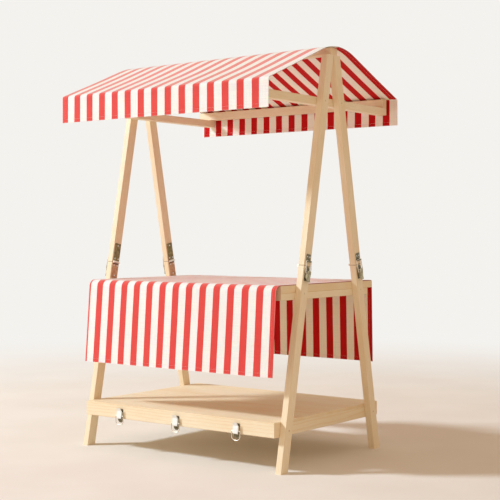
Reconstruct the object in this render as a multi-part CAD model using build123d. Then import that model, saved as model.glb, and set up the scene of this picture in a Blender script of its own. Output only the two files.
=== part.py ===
from build123d import *
import math
import os

os.makedirs("parts", exist_ok=True)

# The stall stands on the ground at Z 0. X runs along its length and Y from front to back.
# The origin lies midway between its two A-frames. All sizes are in millimetres.

# A-frames
bay_length = 1200
leg_thickness = 34
leg_width = 54
foot_spread = 436
seat_height = 1962
timber_arris = 2
joint_ease = 1.5

# Top timbers
beam_width = 54
beam_height = 34
crossbar_width = 48
crossbar_height = 38
crossbar_reach = 554
rail_depth = 34
rail_height = 44
rail_drop = 197
rail_left_overhang = 34

# Canopy cloth
cloth_thickness = 3
cloth_gap = 0.3
canopy_left_overhang = 10
canopy_right_overhang = 25
canopy_crest_radius = 360
valance_standoff = 10
valance_height = 133
eave_round = 8

# Table
table_depth = 800
table_height = 859
table_slab = 34
table_rail_height = 34
table_rail_thickness = 34
table_back_overhang = 44
table_shift = 11

# Table runner cloth
runner_end_gap = 4
runner_front_stand = 30
runner_front_flare = 31
runner_back_stand = 4
runner_back_flare = 10
runner_drop = 418

# Shelf
shelf_depth = 906
shelf_shift = 10
shelf_top = 234
fascia_height = 70
fascia_thickness = 50
deck_thickness = 12
shelf_rail_thickness = 34

# Strap hinges on the inner faces of the legs
hinge_width = 42
hinge_plate = 2.5
hinge_upper_length = 100
hinge_lower_length = 84
knuckle_radius = 5
knuckle_lift = 0.3
knuckle_gap = 0.4
hinge_pin_radius = 2.3
hinge_pin_clearance = 0.2
hinge_pin_head = 1.5
hinge_head_margin = 1.2
hinge_table_gap = 2.5
plate_corner = 3

# Draw latches
latch_plate = 2
latch_base_nose = 25
latch_tongue_corner = 10
latch_base_tail = 44
latch_pin_radius = 1.8
latch_pin_clearance = 0.1
latch_pin_end = 0.6
ear_radius = 4.5
ear_thickness = 1.6
ear_gap = 0.4
lever_width = 30
lever_sheet = 1.6
lever_nose = 6
lever_clearance = 1
lever_body = 34
lever_tip_length = 15
lever_tip_rise = 5
lever_tip_width = 22
bail_radius = 2
wire_sides = 6
bail_crank = 9
bail_pin_lift = 1
bail_side_gap = 1.5
bail_corner = 5
ring_corner = 20
ring_width = 50
bail_clearance = 0.3
catch_side_gap = 2
catch_lip = 2
catch_opening = 3.7
catch_cover = 1.2
catch_plate_length = 35
catch_wire_height = 5.5

# Where the latches sit
leg_latch_drop = 27.5
leg_bail_length = 61
fascia_ring_length = 44
fascia_latch_rise = 6
fascia_latch_inset = 228
fascia_latch_shift = 14

# Levels and places worked out from the sizes above
half_bay = bay_length / 2
half_length = half_bay + leg_thickness
lean = math.acos(leg_width / math.hypot(foot_spread, seat_height)) - math.atan2(seat_height, foot_spread)
level_width = leg_width / math.cos(lean)
hinge_lower_reach = hinge_lower_length * math.cos(lean) + hinge_width / 2 * math.sin(lean)
leg_joint_height = table_height + hinge_table_gap + hinge_lower_reach
canopy_x = (-half_length - canopy_left_overhang, half_length + canopy_right_overhang)
rail_top = seat_height + beam_height - rail_drop
rail_bottom = rail_top - rail_height
crossbar_bottom = rail_bottom - crossbar_height
table_front = table_shift - table_depth / 2
table_back = table_shift + table_depth / 2
slab_bottom = table_height - table_slab
table_rail_bottom = slab_bottom - table_rail_height
table_rail_back = table_back - table_back_overhang
shelf_front = shelf_shift - shelf_depth / 2
shelf_back = shelf_shift + shelf_depth / 2
shelf_bottom = shelf_top - fascia_height
deck_bottom = shelf_top - deck_thickness
latch_pivot_height = latch_plate + lever_clearance + lever_nose
latch_base_width = lever_width + 2 * (ear_gap + ear_thickness)
bail_width = latch_base_width + 2 * (bail_side_gap + bail_radius)
bail_pin_height = latch_pivot_height + bail_pin_lift
catch_drop = bail_pin_height - catch_wire_height
catch_width = bail_width - 2 * (bail_corner + catch_side_gap)
fascia_latch_height = shelf_bottom + fascia_latch_rise
fascia_latch_pitch = half_bay - fascia_latch_inset


def save(node, *solids):
    """Write one named piece, or one group of like pieces that do not touch."""
    shape = solids[0] if len(solids) == 1 else Compound(children=list(solids))
    export_step(shape, f"parts/{node}.step")


def timber(x_range, y_range, z_range):
    """A planed batten or board with its four long arrises eased."""
    size = [high - low for low, high in (x_range, y_range, z_range)]
    middle = [(high + low) / 2 for low, high in (x_range, y_range, z_range)]
    board = Pos(*middle) * Box(*size)
    grain = [Axis.X, Axis.Y, Axis.Z][size.index(max(size))]
    return chamfer(board.edges().filter_by(grain), timber_arris)


def mirrored(values):
    """The same range on the other side of the middle."""
    return (-values[1], -values[0])


def leg_point(height, across=0.0):
    """Y and Z on a front leg's middle line, moved across the leg towards the middle."""
    y_middle = -foot_spread + level_width / 2 + height * math.tan(lean)
    return (y_middle + across * math.cos(lean), height - across * math.sin(lean))


def leg_length(x_low, corners, back):
    """A length of leg timber from its outline in the front leg's plane, eased at the joint."""
    turn = -1 if back else 1
    outline = Polyline([(x_low, turn * y, z) for y, z in corners], close=True)
    batten = extrude(make_face(outline), amount=leg_thickness, dir=(1, 0, 0))
    long_edges = batten.edges().filter_by(lambda edge: edge.length > leg_width * 3)
    batten = chamfer(long_edges, timber_arris)
    joint_y, joint_z = leg_point(leg_joint_height)
    joint_middle = (x_low + leg_thickness / 2, turn * joint_y, joint_z)
    sawn_end = batten.faces().sort_by_distance(joint_middle)[0]
    return chamfer(sawn_end.edges(), joint_ease)


def lower_leg(x_low, back):
    foot = [(-foot_spread + level_width, 0), (-foot_spread, 0)]
    joint = [leg_point(leg_joint_height, -leg_width / 2), leg_point(leg_joint_height, leg_width / 2)]
    return leg_length(x_low, foot + joint, back)


def upper_post(x_low, back):
    joint = [leg_point(leg_joint_height, leg_width / 2), leg_point(leg_joint_height, -leg_width / 2)]
    head = [(-level_width, seat_height), (0, seat_height)]
    return leg_length(x_low, joint + head, back)


def cloth(path_edges, x_range):
    """A sheet of even thickness inside a path that is given in Y and Z, run along X."""
    path = Wire(path_edges)
    section = make_face(offset(path, amount=cloth_thickness, side=Side.RIGHT))
    width = x_range[1] - x_range[0]
    print(f"cloth: {path.length:.1f} long, {width:.1f} wide")
    across = Plane(origin=(x_range[0], 0, 0), x_dir=(0, 1, 0), z_dir=(1, 0, 0))
    return extrude(across * section, amount=width)


def canopy_sheet():
    """One sheet: front valance, front slope, rounded crest, back slope and back valance.

    The crest's arc clears the eased corners of the ridge beam, and each slope runs from
    it in a straight line that clears the eased top corner of the eave rail.
    """
    stand_off = cloth_gap + cloth_thickness
    inner_radius = canopy_crest_radius - cloth_thickness
    beam_top = seat_height + beam_height + cloth_gap
    centre_z = beam_top - math.sqrt(inner_radius**2 - (beam_width / 2 - timber_arris) ** 2)
    rail_rise = rail_top - centre_z
    rail_y = crossbar_reach - timber_arris
    level = math.atan2(rail_y, rail_rise)
    slope = level - math.acos((canopy_crest_radius - stand_off) / math.hypot(rail_y, rail_rise))
    crest_z = centre_z + canopy_crest_radius
    tangent_y = canopy_crest_radius * math.sin(slope)
    tangent_z = centre_z + canopy_crest_radius * math.cos(slope)
    valance_y = crossbar_reach + valance_standoff + cloth_thickness
    eave_z = tangent_z - (valance_y - tangent_y) * math.tan(slope)
    hem_z = eave_z - valance_height
    front = FilletPolyline(
        (-valance_y, hem_z),
        (-valance_y, eave_z),
        (-tangent_y, tangent_z),
        radius=eave_round,
    )
    crest = ThreePointArc((-tangent_y, tangent_z), (0, crest_z), (tangent_y, tangent_z))
    back = FilletPolyline(
        (tangent_y, tangent_z),
        (valance_y, eave_z),
        (valance_y, hem_z),
        radius=eave_round,
    )
    print(f"canopy: eave {eave_z:.1f}, crest {crest_z:.1f}")
    return cloth(front.edges() + crest.edges() + back.edges(), canopy_x)


def runner_sheet():
    """One sheet: front drop that stands a little off the table, top and back drop."""
    x_low = -half_bay + runner_end_gap
    top_z = table_height + cloth_gap + cloth_thickness
    front_y = table_front - runner_front_stand - cloth_thickness
    back_y = table_back + runner_back_stand + cloth_thickness
    seat_margin = cloth_thickness + timber_arris
    hem_z = table_height - runner_drop
    path = FilletPolyline(
        (front_y - runner_front_flare, hem_z),
        (front_y, top_z),
        (back_y, top_z),
        (back_y + runner_back_flare, hem_z),
        radius=[runner_front_stand + seat_margin, runner_back_stand + seat_margin],
    )
    return cloth(path.edges(), (x_low, -x_low))


def side_plate(points, width):
    """A solid cut to a side outline in the local XZ plane and centred on its width."""
    outline = Plane.XZ * Polyline(points, close=True)
    return extrude(make_face(outline), amount=width / 2, both=True)


def cross_pin(x, z, radius, width):
    """A round pin or bore across the local width."""
    return Pos(x, 0, z) * Rot(90, 0, 0) * Cylinder(radius, width)


def flat_plate(x_low, x_high, width, thickness):
    """A screw plate with clipped corners."""
    plate = Pos((x_low + x_high) / 2, 0, thickness / 2) * Box(x_high - x_low, width, thickness)
    return chamfer(plate.edges().filter_by(Axis.Z), plate_corner)


def latch_base():
    """Screw plate with a tongue and two upright ears that carry the lever's pivot."""
    plate_length = latch_base_nose + latch_base_tail
    middle = (latch_base_nose - latch_base_tail) / 2
    plate = Pos(middle, 0, latch_plate / 2) * Box(plate_length, latch_base_width, latch_plate)
    upright_edges = plate.edges().filter_by(Axis.Z).sort_by(Axis.X)
    plate = chamfer(upright_edges[2:], latch_tongue_corner)
    plate = chamfer(plate.edges().filter_by(Axis.Z).sort_by(Axis.X)[:2], plate_corner)
    upright = Pos(0, 0, latch_pivot_height / 2) * Box(2 * ear_radius, latch_base_width, latch_pivot_height)
    crown = cross_pin(0, latch_pivot_height, ear_radius, latch_base_width)
    room_width = latch_base_width - 2 * ear_thickness
    room_height = 2 * latch_pivot_height
    room = Pos(0, 0, latch_plate + room_height / 2) * Box(4 * ear_radius, room_width, room_height)
    bore = cross_pin(0, latch_pivot_height, latch_pin_radius + latch_pin_clearance, 2 * latch_base_width)
    return plate + (upright + crown - room - bore)


def latch_lever():
    """Folded channel with a round nose, a raised finger tip, a pivot pin and bail holes."""
    lever_reach = lever_body + lever_tip_length
    top = latch_pivot_height + lever_nose
    skirt = latch_pivot_height - lever_nose
    side = side_plate(
        [
            (0, skirt),
            (0, top),
            (-lever_body, top - lever_sheet),
            (-lever_reach, top - lever_sheet + lever_tip_rise),
            (-lever_reach, top - 2 * lever_sheet + lever_tip_rise),
            (-lever_body, top - 3 * lever_sheet),
            (-lever_body + lever_nose, skirt),
        ],
        lever_width,
    )
    nose = cross_pin(0, latch_pivot_height, lever_nose, lever_width)
    plan = Polyline(
        (lever_nose, -lever_width / 2),
        (lever_nose, lever_width / 2),
        (-lever_body, lever_width / 2),
        (-lever_reach, lever_tip_width / 2),
        (-lever_reach, -lever_tip_width / 2),
        (-lever_body, -lever_width / 2),
        close=True,
    )
    footprint = extrude(make_face(plan), amount=2 * top)
    inner_width = lever_width - 2 * lever_sheet
    channel = side_plate(
        [
            (lever_nose, 0),
            (lever_nose, latch_pivot_height),
            (0, top - lever_sheet),
            (-lever_body + lever_sheet, top - 2 * lever_sheet),
            (-lever_body + lever_sheet, 0),
        ],
        inner_width,
    )
    pivot = cross_pin(0, latch_pivot_height, latch_pin_radius, latch_base_width + 2 * latch_pin_end)
    holes = cross_pin(-bail_crank, bail_pin_height, bail_radius + latch_pin_clearance, 2 * lever_width)
    return ((side + nose) & footprint) - channel + pivot - holes


def latch_bail(length, width, drop, corner):
    """Bent wire, rolled to six sides, whose two ends turn in the lever.

    Its far end is drop lower than its pins.
    """
    half = width / 2
    run = math.sqrt(length**2 - drop**2)
    inner = lever_width / 2 - lever_sheet
    pin_z = bail_pin_height
    far_x = run - bail_crank
    path = FilletPolyline(
        (-bail_crank, -inner, pin_z),
        (-bail_crank, -half, pin_z),
        (far_x, -half, pin_z - drop),
        (far_x, half, pin_z - drop),
        (-bail_crank, half, pin_z),
        (-bail_crank, inner, pin_z),
        radius=[bail_radius * 2, corner, corner, bail_radius * 2],
    )
    section = Plane(origin=path @ 0, z_dir=path % 0) * RegularPolygon(bail_radius, wire_sides)
    return sweep(section, path=path)


def latch_catch():
    """Screw plate with a folded hook that the bail's far end pulls on."""
    wire_x = math.sqrt(leg_bail_length**2 - catch_drop**2) - bail_crank
    wall = wire_x - bail_radius - bail_clearance
    ceiling = catch_wire_height + bail_radius + catch_opening
    tip = wire_x + catch_cover
    hook = side_plate(
        [
            (wall - catch_lip, 0),
            (wall - catch_lip, ceiling + catch_lip),
            (tip, ceiling + catch_lip),
            (tip, ceiling),
            (wall, ceiling),
            (wall, 0),
        ],
        catch_width,
    )
    plate = flat_plate(wall - catch_lip, wall + catch_plate_length, latch_base_width, latch_plate)
    return plate + hook


def hinge_parts():
    """Upper leaf, lower leaf and pin, with the pin's axis across the leg at the joint."""
    barrel_z = knuckle_radius + knuckle_lift
    third = hinge_width / 3
    bore = cross_pin(0, barrel_z, hinge_pin_radius + hinge_pin_clearance, 2 * hinge_width)
    clear = knuckle_radius + knuckle_gap

    knuckle_width = third - knuckle_gap

    def leaf(direction, length, knuckle_places):
        middle = direction * (clear + length) / 2
        plate = Pos(middle, 0, hinge_plate / 2) * Box(length - clear, hinge_width, hinge_plate)
        far_corners = plate.edges().filter_by(Axis.Z).sort_by(lambda edge: direction * edge.center().X)[2:]
        plate = chamfer(far_corners, plate_corner)
        tongue = Pos(direction * clear / 2, 0, hinge_plate / 2) * Box(clear, knuckle_width, hinge_plate)
        knuckle = tongue + cross_pin(0, barrel_z, knuckle_radius, knuckle_width)
        for y_middle in knuckle_places:
            plate = plate + Pos(0, y_middle, 0) * knuckle
        return plate - bore

    upper = leaf(1, hinge_upper_length, [0])
    lower = leaf(-1, hinge_lower_length, [-third, third])
    barrel_end = third + knuckle_width / 2
    pin = cross_pin(0, barrel_z, hinge_pin_radius, 2 * barrel_end)
    head = cross_pin(0, barrel_z, hinge_pin_radius + hinge_head_margin, hinge_pin_head)
    return upper, lower, pin + Pos(0, barrel_end + hinge_pin_head / 2, 0) * head


def leg_plane(side, place, x_face, facing, height):
    """A frame on one leg's face: X up along the leg, Z straight out of the face."""
    hand = -1 if side == "left" else 1
    turn = -1 if place == "back" else 1
    y, z = leg_point(height)
    up_leg = (0, turn * math.sin(lean), math.cos(lean))
    return Plane(origin=(hand * x_face, turn * y, z), x_dir=up_leg, z_dir=(hand * facing, 0, 0))


def fascia_plane(x):
    """A frame on the front fascia: X straight down, Z straight out of its face."""
    return Plane(origin=(x, shelf_front, fascia_latch_height), x_dir=(0, 0, -1), z_dir=(0, -1, 0))


# The two A-frames, each of two legs that lean together and are jointed above the table
corners = [(side, place) for side in ("left", "right") for place in ("front", "back")]
for side, place in corners:
    x_low = -half_length if side == "left" else half_bay
    save(f"{side}_{place}_lower_leg", lower_leg(x_low, place == "back"))
    save(f"{side}_{place}_upper_post", upper_post(x_low, place == "back"))

# The timbers that carry the canopy
beam_y = (-beam_width / 2, beam_width / 2)
save("ridge_beam", timber((-half_length, half_length), beam_y, (seat_height, seat_height + beam_height)))
crossbar_x = (half_bay - crossbar_width, half_bay)
crossbar_y = (-crossbar_reach, crossbar_reach)
crossbar_z = (crossbar_bottom, rail_bottom)
save("right_crossbar", timber(crossbar_x, crossbar_y, crossbar_z))
save("left_crossbar", timber(mirrored(crossbar_x), crossbar_y, crossbar_z))
rail_x = (-half_bay - rail_left_overhang, half_bay)
rail_y = (crossbar_reach - rail_depth, crossbar_reach)
save("back_eave_rail", timber(rail_x, rail_y, (rail_bottom, rail_top)))
save("front_eave_rail", timber(rail_x, mirrored(rail_y), (rail_bottom, rail_top)))
save("canopy", canopy_sheet())

# The table between the A-frames
bay_x = (-half_bay, half_bay)
end_rail_x = (half_bay - table_rail_thickness, half_bay)
between_ends_x = (-half_bay + table_rail_thickness, half_bay - table_rail_thickness)
end_rail_y = (table_front, table_rail_back)
table_rail_z = (table_rail_bottom, slab_bottom)
save("table_top", timber(bay_x, (table_front, table_back), (slab_bottom, table_height)))
save("table_right_rail", timber(end_rail_x, end_rail_y, table_rail_z))
save("table_left_rail", timber(mirrored(end_rail_x), end_rail_y, table_rail_z))
front_rail_y = (table_front, table_front + table_rail_thickness)
back_rail_y = (table_rail_back - table_rail_thickness, table_rail_back)
save("table_front_rail", timber(between_ends_x, front_rail_y, table_rail_z))
save("table_back_rail", timber(between_ends_x, back_rail_y, table_rail_z))
save("table_runner", runner_sheet())

# The shelf near the ground
fascia_z = (shelf_bottom, shelf_top)
inner_front = shelf_front + fascia_thickness
inner_back = shelf_back - fascia_thickness
save("shelf_front_fascia", timber(bay_x, (shelf_front, inner_front), fascia_z))
save("shelf_back_fascia", timber(bay_x, (inner_back, shelf_back), fascia_z))
shelf_rail_x = (half_bay - shelf_rail_thickness, half_bay)
shelf_rail_z = (shelf_bottom, deck_bottom)
save("shelf_right_rail", timber(shelf_rail_x, (inner_front, inner_back), shelf_rail_z))
save("shelf_left_rail", timber(mirrored(shelf_rail_x), (inner_front, inner_back), shelf_rail_z))
save("shelf_deck", timber(bay_x, (inner_front, inner_back), (deck_bottom, shelf_top)))

# Strap hinges across the leg joints, on the inner faces
upper_leaf, lower_leaf, hinge_pin = hinge_parts()
hinge_planes = [leg_plane(side, place, half_bay, -1, leg_joint_height) for side, place in corners]
save("hinge_upper_leaves", *[plane * upper_leaf for plane in hinge_planes])
save("hinge_lower_leaves", *[plane * lower_leaf for plane in hinge_planes])
save("hinge_pins", *[plane * hinge_pin for plane in hinge_planes])

# Draw latches across the same joints, on the outer faces, and three on the front fascia
base = latch_base()
lever = latch_lever()
catch = latch_catch()
leg_bail = latch_bail(leg_bail_length, bail_width, catch_drop, bail_corner)
ring = latch_bail(fascia_ring_length, ring_width, 0, ring_corner)
latch_height = leg_joint_height - leg_latch_drop
latch_planes = [leg_plane(side, place, half_length, 1, latch_height) for side, place in corners]
save("leg_latch_bases", *[plane * base for plane in latch_planes])
save("leg_latch_catches", *[plane * catch for plane in latch_planes])
for (side, place), plane in zip(corners, latch_planes):
    save(f"{side}_{place}_latch_lever", plane * lever)
    save(f"{side}_{place}_latch_bail", plane * leg_bail)
fascia_places = {
    "left": fascia_latch_shift - fascia_latch_pitch,
    "middle": fascia_latch_shift,
    "right": fascia_latch_shift + fascia_latch_pitch,
}
save("fascia_latch_bases", *[fascia_plane(x) * base for x in fascia_places.values()])
for place, x in fascia_places.items():
    save(f"{place}_fascia_latch_lever", fascia_plane(x) * lever)
    save(f"{place}_fascia_latch_ring", fascia_plane(x) * ring)
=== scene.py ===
# %% [markdown]
# # A wooden market stall with a striped canopy
# The stall's timbers, hinges and latches are already built to size. This lesson dresses them:
# it gives each batten its own length of pine, weaves and sews the two striped cloths, plates
# the fittings with zinc, drives the screws, and sets up a plain studio to look at the result.

# %% Load the stall's frame
import math

import bmesh
import bpy
from mathutils import Matrix, Vector, noise


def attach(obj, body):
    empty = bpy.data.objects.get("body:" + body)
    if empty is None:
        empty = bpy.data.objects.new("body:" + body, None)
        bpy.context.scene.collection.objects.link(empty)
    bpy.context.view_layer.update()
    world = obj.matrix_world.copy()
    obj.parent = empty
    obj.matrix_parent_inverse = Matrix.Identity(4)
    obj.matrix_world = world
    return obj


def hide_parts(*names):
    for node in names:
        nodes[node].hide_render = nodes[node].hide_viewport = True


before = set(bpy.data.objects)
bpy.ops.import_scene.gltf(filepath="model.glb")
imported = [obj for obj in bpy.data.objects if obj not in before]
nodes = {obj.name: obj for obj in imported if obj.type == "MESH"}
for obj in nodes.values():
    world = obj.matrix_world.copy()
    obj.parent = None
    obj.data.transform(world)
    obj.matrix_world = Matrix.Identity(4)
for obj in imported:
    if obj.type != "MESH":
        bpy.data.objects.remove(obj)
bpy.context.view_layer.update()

# %% [markdown]
# ## The camera
# The photograph was taken from the front right, a little above table height and almost level.
# A long lens keeps the uprights straight. The camera could be set by eye, but its place, its
# turn and its lens were worked out from the corners of the timbers, so that the render can be
# laid over the photograph.

# %% Set the camera
camera_place = Vector((3.7435, -4.7745, 1.1036))
camera_turn = math.radians(37.147)
camera_dip = math.radians(0.834)
lens_mm = 84.57
sensor_mm = 36


def add_object(name, data):
    """Put a mesh, a lamp or a camera into the scene."""
    made = bpy.data.objects.new(name, data)
    bpy.context.collection.objects.link(made)
    return made


camera_data = bpy.data.cameras.new("camera")
camera_data.lens = lens_mm
camera_data.sensor_width = sensor_mm
camera = add_object("camera", camera_data)
camera.location = camera_place
camera.rotation_euler = (math.pi / 2 - camera_dip, 0, camera_turn)
bpy.context.scene.camera = camera
bpy.context.scene.view_settings.view_transform = "Standard"
print("camera", round(camera_place.length, 2), "m from the stall's origin")

# %% [markdown]
# ## Helpers for node materials
# A finish is a small web of nodes. It could be drawn by hand in the node editor, but a web
# that is written in code can be made again for every timber with other values. Most webs
# below need a few sums, so short helpers add a node, set its values and plug in what feeds it.

# %% Weave a web of nodes
class Web:
    """The nodes of a material or of the world, with short words for the most used ones."""

    def __init__(self, owner):
        owner.use_nodes = True
        self.owner = owner
        self.tree = owner.node_tree
        self.shader = self.tree.nodes.get("Principled BSDF")
        self.output = self.tree.nodes.get("Material Output")

    def plug(self, socket, value):
        """Link what feeds a socket, or set the socket to a plain value."""
        if isinstance(value, bpy.types.NodeSocket):
            self.tree.links.new(value, socket)
        else:
            socket.default_value = value

    def node(self, kind, inputs=None, **settings):
        made = self.tree.nodes.new("ShaderNode" + kind)
        for key, value in settings.items():
            setattr(made, key, value)
        for key, value in (inputs or {}).items():
            self.plug(made.inputs[key], value)
        return made

    def sum(self, operation, *values):
        return self.node("Math", dict(enumerate(values)), operation=operation).outputs[0]

    def ramp(self, value, low, high, to_low=0.0, to_high=1.0, smooth=True):
        """Hold to_low below low and to_high above high, and change steadily between them."""
        kind = "SMOOTHSTEP" if smooth else "LINEAR"
        inputs = {"Value": value, "From Min": low, "From Max": high,
                  "To Min": to_low, "To Max": to_high}
        return self.node("MapRange", inputs, interpolation_type=kind).outputs["Result"]

    def noise(self, vector, detail=2.0, roughness=0.5):
        inputs = {"Vector": vector, "Scale": 1.0, "Detail": detail, "Roughness": roughness}
        return self.node("TexNoise", inputs).outputs["Fac"]

    def stretch(self, vector, scale, shift=(0, 0, 0)):
        inputs = {"Vector": vector, "Scale": scale, "Location": shift}
        return self.node("Mapping", inputs).outputs[0]

    def split(self, vector):
        return self.node("SeparateXYZ", {"Vector": vector}).outputs

    def blend(self, share, first, second, kind="MIX"):
        made = self.node("Mix", data_type="RGBA", blend_type=kind, clamp_factor=True)
        color_sockets = made.inputs[0], made.inputs[6], made.inputs[7]
        for socket, value in zip(color_sockets, (share, first, second)):
            self.plug(socket, value)
        return made.outputs[2]

    def bump(self, height, strength, distance, normal=None):
        inputs = {"Height": height, "Strength": strength, "Distance": distance}
        if normal is not None:
            inputs["Normal"] = normal
        return self.node("Bump", inputs).outputs["Normal"]

    def finish(self, color, roughness, normal=None, **constants):
        """Feed the shader, and give back the finished material."""
        self.plug(self.shader.inputs["Base Color"], color)
        self.plug(self.shader.inputs["Roughness"], roughness)
        if normal is not None:
            self.plug(self.shader.inputs["Normal"], normal)
        for name, value in constants.items():
            self.plug(self.shader.inputs[name.replace("_", " ")], value)
        return self.owner


def material_web(name):
    return Web(bpy.data.materials.new(name))


print("words of a web:", ", ".join(word for word in vars(Web) if not word.startswith("_")))

# %% [markdown]
# ## Colours
# The colours of the wood, the cloth and the zinc were chosen on a screen, which counts red,
# green and blue from 0 to 255. Blender works with the strength of the light itself. That could
# be written down at once, but the numbers of a screen are easier to compare with a photograph,
# so one helper turns them into light.

# %% Turn a colour of the screen into light
def srgb(red, green, blue):
    """A colour read off a screen, 0 to 255, as the light that Blender works with."""
    def light(value):
        value = value / 255
        return value / 12.92 if value <= 0.04045 else ((value + 0.055) / 1.055) ** 2.4

    return (light(red), light(green), light(blue), 1.0)


print("middle grey is", round(srgb(128, 128, 128)[0], 3), "of full light")

# %% [markdown]
# ## Year rings
# Every stick of the stall is planed pine, sawn from a log. Its grain could be painted on each
# face, but then it would not meet at the edges. Here the log itself is described: rings round
# a pith that runs beside the board and wanders a little. Each face cuts those rings as a saw
# does, so wide faces get long flames, narrow ones get straight lines and sawn ends get arcs.

# %% Cut through the year rings
ring_width = 0.0042
ring_ripple = 0.7 * ring_width
late_wood = (0.62, 0.93)
next_ring = (0.94, 1.0)
pith_wander = 0.011
# Scales of the grain count features to the metre, twice across the log and once along it.
drift_scale = (0.4, 0.4, 1.1)
sway_scale = (0.4, 0.4, 0.9)
ripple_scale = (14, 14, 1.6)


def pine_rings(web, log, seed):
    """How dark the late wood of a year ring is at each point of the log, from 0 to 1."""
    drift = web.noise(web.stretch(log, drift_scale, (seed, 0, 0)), detail=1.0)
    sway = web.noise(web.stretch(log, sway_scale, (0, seed, 5)), detail=1.0)
    ripple = web.noise(web.stretch(log, ripple_scale, (seed, 3, 0)))
    across = web.split(log)
    x = web.sum("MULTIPLY_ADD", drift, pith_wander * 2, across[0])
    y = web.sum("MULTIPLY_ADD", sway, pith_wander * 2, across[1])
    squares = web.sum("ADD", web.sum("MULTIPLY", x, x), web.sum("MULTIPLY", y, y))
    radius = web.sum("MULTIPLY_ADD", ripple, ring_ripple, web.sum("SQRT", squares))
    ring = web.sum("FRACT", web.sum("DIVIDE", radius, ring_width))
    return web.sum("MULTIPLY", web.ramp(ring, *late_wood), web.ramp(ring, *next_ring, 1.0, 0.0))


print("year rings", round(1000 * ring_width, 1), "mm apart")

# %% [markdown]
# ## Sawn ends and rubbed edges
# Sawn ends are duller than planed faces, and edges that hands have rubbed are a little darker
# and smoother. Both could be painted on, batten by batten. But the way that a face looks
# already tells them apart: an end looks along the grain, and a rounded edge looks squarely in
# no direction. So two masks are worked out from that.

# %% Tell ends and edges from faces
sawn_end = (0.75, 0.9)
rubbed_arris = (0.76, 0.86)


def board_faces(web, turn):
    """Two masks from 0 to 1: the sawn ends, and the rubbed edges where no face is square on."""
    faces = web.node("NewGeometry").outputs["True Normal"]
    faces = web.node("VectorTransform", {"Vector": faces}, vector_type="NORMAL",
                     convert_from="WORLD", convert_to="OBJECT").outputs[0]
    faces = web.node("VectorRotate", {"Vector": faces, "Rotation": turn},
                     rotation_type="EULER_XYZ").outputs[0]
    square = [web.sum("ABSOLUTE", part) for part in web.split(faces)]
    squarest = web.sum("MAXIMUM", web.sum("MAXIMUM", square[0], square[1]), square[2])
    return web.ramp(square[2], *sawn_end), web.ramp(squarest, *rubbed_arris, 1.0, 0.0)


off_square = math.degrees(math.acos(rubbed_arris[1]))
print("faces more than", round(off_square), "degrees off square look rubbed")

# %% [markdown]
# ## One board of pine
# A board gets its colour from its rings, its fibres, slow clouds of tone and small dark pores.
# A strong pattern of any one of them would look printed, so each adds only a little. The joint
# of a leg is so tight that just a dark line shows. A groove could be cut there, but a line in
# the finish leaves the solids as they are.

# %% Make pine for one board
pine_light = srgb(250, 237, 208)
pine_dark = srgb(236, 198, 142)
pine_end = srgb(238, 208, 160)
pine_pore = srgb(160, 112, 70)
fibre_dark = srgb(220, 178, 124)
joint_shadow = srgb(84, 58, 34)
fibre_scale = (900, 900, 14)
cloud_scale = (9, 9, 2.2)
pore_scale = (1400, 1400, 60)
stick_spacing = 3.1
# The numbers of a ramp are where it starts and ends, and then its value at each.
ring_tone = (0.2, 0.8, 0.18, 0.46)
fibre_tone = (0.42, 0.75, 0.0, 0.34)
cloud_start, cloud_depth = (0.35, 0.75, 0.0), 0.16
joint_line = (0.0008, 0.0015, 0.75, 0.0)
planed_gloss = (0.3, 0.7, 0.5, 0.64)
pore_size = (0.70, 0.78)
pore_share, end_share, arris_share = 0.3, 0.18, 0.3
end_dulled, arris_polished = 0.2, -0.12
late_height, fibre_height, pore_depth = 0.55, 0.45, 0.5
# The numbers of a bump are its strength and its height in metres.
grain_bump = (0.35, 0.0006)


def pine(name, turn, pith, seed, warmth=0.0, joint_at=None):
    """Pine whose grain runs along the local Z that turn makes of the board's length."""
    web = material_web(name)
    place = web.node("TexCoord").outputs["Object"]
    stick = web.node("Mapping", {"Vector": place, "Rotation": turn}).outputs[0]
    past_pith = (pith[0], pith[1], seed * stick_spacing)
    log = web.node("Mapping", {"Vector": stick, "Location": past_pith}).outputs[0]
    late = pine_rings(web, log, seed)
    fibre = web.noise(web.stretch(log, fibre_scale, (seed, 1, 2)), detail=3.0, roughness=0.6)
    cloud = web.noise(web.stretch(log, cloud_scale, (2, seed, 2)))
    pores = web.noise(web.stretch(log, pore_scale, (seed, 7, 2)), detail=1.0)
    pores = web.ramp(pores, *pore_size)
    sawn, arris = board_faces(web, turn)

    strength = web.sum("MULTIPLY", late, web.ramp(cloud, *ring_tone))
    color = web.blend(strength, pine_light, pine_dark)
    color = web.blend(web.ramp(fibre, *fibre_tone), color, fibre_dark)
    color = web.blend(web.ramp(cloud, *cloud_start, cloud_depth + warmth), color, pine_dark)
    color = web.blend(web.sum("MULTIPLY", pores, pore_share), color, pine_pore)
    color = web.blend(web.sum("MULTIPLY", sawn, end_share), color, pine_end, "MULTIPLY")
    color = web.blend(web.sum("MULTIPLY", arris, arris_share), color, pine_dark)
    if joint_at is not None:
        apart = web.sum("ABSOLUTE", web.sum("SUBTRACT", web.split(stick)[2], joint_at))
        color = web.blend(web.ramp(apart, *joint_line), color, joint_shadow)

    gloss = web.sum("MULTIPLY_ADD", sawn, end_dulled, web.ramp(fibre, *planed_gloss))
    gloss = web.sum("MULTIPLY_ADD", arris, arris_polished, gloss)
    height = web.sum("MULTIPLY", fibre, fibre_height)
    height = web.sum("MULTIPLY_ADD", late, late_height, height)
    height = web.sum("SUBTRACT", height, web.sum("MULTIPLY", pores, pore_depth))
    return web.finish(color, gloss, web.bump(height, *grain_bump), Specular_IOR_Level=0.35)


print("the dark line of a joint is", round(2000 * joint_line[0], 1), "mm wide")

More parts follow.
